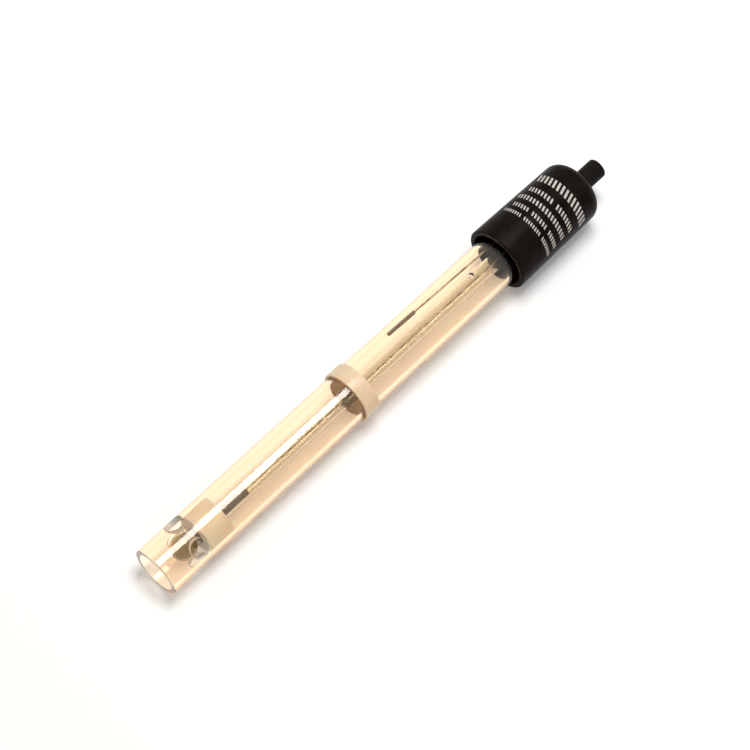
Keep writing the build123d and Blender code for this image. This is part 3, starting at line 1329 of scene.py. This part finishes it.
@dataclass
class CapAndBoot:
    """Black cap with its open skirt, and the cable boot in its roof.

    Attributes:
        rim: Height of the cap's rim.
        socket_floor: Height at which the skirt's bore narrows to the socket.
        tube_top: Height at which the socket narrows to the cavity.
        roof_underside: Height of the cavity's roof.
        top: Height of the cap's top.
        skirt: Outer radius at the rim.
        skirt_bore: Radius of the skirt's bore.
        socket: Radius of the socket for the tube.
        cavity: Radius of the cavity above the tube.
        roof_hole: Radius of the hole for the boot.
        draft: Draft of the cap's side in degrees.
        bore_round: Rounding of the rim inside.
        rim_round: Rounding of the rim outside.
        top_round: Rounding of the top.
        boot: Outer radius of the boot.
        boot_flange: Radius of its flange under the roof.
        boot_foot: Height of its lower end.
        boot_end: Height of its upper end.
        cable_bore: Radius of its bore for a cable.
        cable_stop: Height of that bore's floor.
        core_hole: Radius of the hole for the cable's wires.
        flange_round: Rounding of the flange.
        boot_round: Rounding of its end outside.
        mouth_round: Rounding of its end inside.
        plastic: Finish of the cap.
        rubber: Finish of the boot.
    """

    rim: float = 108.4
    socket_floor: float = 111.4
    tube_top: float = 124.3
    roof_underside: float = 133.3
    top: float = 136.3
    skirt: float = 8.25
    skirt_bore: float = 6.9
    socket: float = 6.03
    cavity: float = 4.5
    roof_hole: float = 2.53
    draft: float = 1.0
    bore_round: Rounding = Rounding(0.15, 3)
    rim_round: Rounding = Rounding(0.3, 4)
    top_round: Rounding = Rounding(3.0, 12)
    boot: float = 2.5
    boot_flange: float = 4.1
    boot_foot: float = 131.7
    boot_end: float = 143.5
    cable_bore: float = 1.6
    cable_stop: float = 137.0
    core_hole: float = 1.0
    flange_round: Rounding = Rounding(0.1, 2)
    boot_round: Rounding = Rounding(0.4, 5)
    mouth_round: Rounding = Rounding(0.08, 2)
    plastic: CapPlastic = CapPlastic(rows=(
        PrintedRow(128.9, 2.2, pitch=9.0, first=-7, count=15, group=16),
        PrintedRow(124.9, 1.3, pitch=7.0, first=-8, count=17, group=9),
        PrintedRow(122.1, 1.3, pitch=7.0, first=-9, count=18, group=19),
        PrintedRow(119.3, 1.1, pitch=6.0, first=-9, count=20, group=7),
        PrintedRow(117.0, 0.9, pitch=5.0, first=-12, count=26, group=9),
    ))
    rubber: GrainySolid = GrainySolid(
        Slot.BOOT, base=(0.0025, 0.0018, 0.0014), speck=(0.012, 0.009, 0.007), grain=3.0, gloss=(0.45, 0.65),
        depth=0.02, shine=0.06,
    )

    def build(self, shop: Workshop) -> None:
        """Build and dress the cap and the boot."""
        shop.lay_down(self.cap_mesh(), "moulded_cap", Body.ELECTRODE, self.plastic, "cap")
        shop.lay_down(self.boot_mesh(), "rubber_boot", Body.ELECTRODE, self.rubber, "cable_boot")

    def cap_mesh(self) -> bmesh.types.BMesh:
        """Turn the cap.

        Returns:
            Its mesh.
        """
        crown = self.skirt - (self.top - self.rim) * tan(radians(self.draft))
        profile = LatheProfile(self.skirt_bore, self.socket_floor)
        profile.line_to(self.skirt_bore, self.rim, self.bore_round)
        profile.line_to(self.skirt, self.rim, self.rim_round).line_to(crown, self.top, self.top_round)
        profile.line_to(self.roof_hole, self.top).line_to(self.roof_hole, self.roof_underside)
        profile.line_to(self.cavity, self.roof_underside).line_to(self.cavity, self.tube_top)
        profile.line_to(self.socket, self.tube_top).line_to(self.socket, self.socket_floor)
        return profile.spun()

    def boot_mesh(self) -> bmesh.types.BMesh:
        """Turn the boot.

        Returns:
            Its mesh.
        """
        profile = LatheProfile(self.core_hole, self.boot_foot)
        profile.line_to(self.boot_flange, self.boot_foot, self.flange_round)
        profile.line_to(self.boot_flange, self.roof_underside).line_to(self.boot, self.roof_underside)
        profile.line_to(self.boot, self.boot_end, self.boot_round)
        profile.line_to(self.cable_bore, self.boot_end, self.mouth_round)
        profile.line_to(self.cable_bore, self.cable_stop).line_to(self.core_hole, self.cable_stop)
        return profile.spun()


@dataclass
class Studio:
    """Pale table, soft light and the camera, with lengths in metres.

    Attributes:
        azimuth: Camera's turn about the vertical, in degrees.
        elevation: Camera's angle above the table, in degrees.
        distance: Camera's distance from its target.
        target: Place that the camera looks at.
        lens: Focal length in millimetres.
        floor_size: Side of the table.
        floor_colour: Colour of the table.
        floor_lift: Glow of the table where the camera sees it.
        floor_through: Glow of the table where it is seen through something clear.
        sky: Colour of the tent.
        sky_strength: Strength of its light on surfaces.
        sky_seen: Strength of the tent where it is seen.
        box_place: Place of the soft box.
        box_size: Its width and depth.
        box_power: Its power in watts.
    """

    azimuth: float = -46.305
    elevation: float = 59.555
    distance: float = 0.540
    target: tuple[float, float, float] = (-0.004227, -0.000469, 0.0070)
    lens: float = 116.0
    floor_size: float = 6.0
    floor_colour: Colour = (0.93, 0.925, 0.915)
    floor_lift: float = 0.13
    floor_through: float = 0.4
    sky: Colour = (1.0, 0.985, 0.96)
    sky_strength: float = 0.42
    sky_seen: float = 1.0
    box_place: tuple[float, float, float] = (0.10, -0.01, 0.6)
    box_size: tuple[float, float] = (0.18, 0.28)
    box_power: float = 2.4

    def build(self) -> None:
        """Build the table, the light and the camera."""
        self.add_floor()
        self.add_sky()
        self.add_box_light()
        self.add_camera()

    def add_floor(self) -> None:
        """Add the table that the electrode lies on."""
        mesh = bmesh.new()
        bmesh.ops.create_grid(mesh, x_segments=1, y_segments=1, size=self.floor_size / 2)
        data = bpy.data.meshes.new("table")
        mesh.to_mesh(data)
        mesh.free()
        data.materials.append(self.floor_material())
        table = bpy.data.objects.new("table", data)
        bpy.context.scene.collection.objects.link(table)

    def floor_material(self) -> bpy.types.Material:
        """Make the table's plain paper, which glows a little where it is seen.

        Returns:
            The material.
        """
        material = bpy.data.materials.new("pale_table")
        material.use_nodes = True
        nodes, links = material.node_tree.nodes, material.node_tree.links
        nodes.clear()
        output = nodes.new("ShaderNodeOutputMaterial")
        paper = nodes.new("ShaderNodeBsdfDiffuse")
        paper.inputs["Color"].default_value = (*self.floor_colour, 1.0)
        lift = nodes.new("ShaderNodeEmission")
        both = nodes.new("ShaderNodeAddShader")
        glow = self.seen_rays(nodes, links, 0.0, self.floor_lift, self.floor_through)
        links.new(glow, lift.inputs["Strength"])
        links.new(paper.outputs["BSDF"], both.inputs[0])
        links.new(lift.outputs["Emission"], both.inputs[1])
        links.new(both.outputs["Shader"], output.inputs["Surface"])
        return material

    @staticmethod
    def seen_rays(
        nodes: bpy.types.Nodes, links: bpy.types.NodeLinks, rest: float, seen: float, through: float
    ) -> bpy.types.NodeSocket:
        """Tell a place that lights a surface from one that is looked at.

        Args:
            nodes: Nodes of the tree.
            links: Links of the tree.
            rest: Strength for the light that falls on surfaces.
            seen: Strength for what the camera sees, itself or in a mirror reflection.
            through: Strength for what is seen through something clear.

        Returns:
            Value socket with the strength.
        """
        path = nodes.new("ShaderNodeLightPath")
        rays = {"Is Camera Ray": seen, "Is Glossy Ray": seen, "Is Transmission Ray": through}
        strengths = []
        for name, strength in rays.items():
            ranged = nodes.new("ShaderNodeMapRange")
            ranged.inputs["To Min"].default_value = rest
            ranged.inputs["To Max"].default_value = strength
            links.new(path.outputs[name], ranged.inputs["Value"])
            strengths.append(ranged.outputs["Result"])
        total, *others = strengths
        for other in others:
            larger = nodes.new("ShaderNodeMath")
            larger.operation = Sum.LARGER.value
            links.new(total, larger.inputs[0])
            links.new(other, larger.inputs[1])
            total = larger.outputs["Value"]
        return total

    def add_sky(self) -> None:
        """Add the even light of a white tent."""
        world = bpy.data.worlds.new("tent")
        world.use_nodes = True
        nodes, links = world.node_tree.nodes, world.node_tree.links
        background = nodes["Background"]
        background.inputs["Color"].default_value = (*self.sky, 1.0)
        strength = self.seen_rays(nodes, links, self.sky_strength, self.sky_seen, self.sky_seen)
        links.new(strength, background.inputs["Strength"])
        bpy.context.scene.world = world

    def add_box_light(self) -> None:
        """Add the soft box over the electrode."""
        lamp = bpy.data.lights.new("soft_box", "AREA")
        lamp.shape = "RECTANGLE"
        lamp.size, lamp.size_y = self.box_size
        lamp.energy = self.box_power
        box = bpy.data.objects.new("soft_box", lamp)
        box.location = self.box_place
        bpy.context.scene.collection.objects.link(box)

    def add_camera(self) -> None:
        """Add the camera at the photograph's angle."""
        turn, rise = radians(self.azimuth), radians(self.elevation)
        back = Vector((sin(turn) * cos(rise), -cos(turn) * cos(rise), sin(rise)))
        camera = bpy.data.cameras.new("camera")
        camera.lens = self.lens
        eye = bpy.data.objects.new("camera", camera)
        eye.location = Vector(self.target) + back * self.distance
        eye.rotation_euler = (-back).to_track_quat("-Z", "Y").to_euler()
        bpy.context.scene.collection.objects.link(eye)
        bpy.context.scene.camera = eye
        bpy.context.scene.view_settings.view_transform = "Standard"


def main() -> None:
    """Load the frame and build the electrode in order."""
    logging.basicConfig(level=logging.INFO, format="%(name)s: %(message)s")
    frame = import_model()
    place = LyingPlace.from_record(frame["record"], CABLE_BORE_HEIGHT, LYING_ROLL)
    shop = Workshop(frame, place)
    for part in (GuardTube(), FillSleeve(), BulbStem(), CastSeals(), SilverWires(), CapAndBoot()):
        part.build(shop)
    Studio().build()


if __name__ == "__main__":
    main()
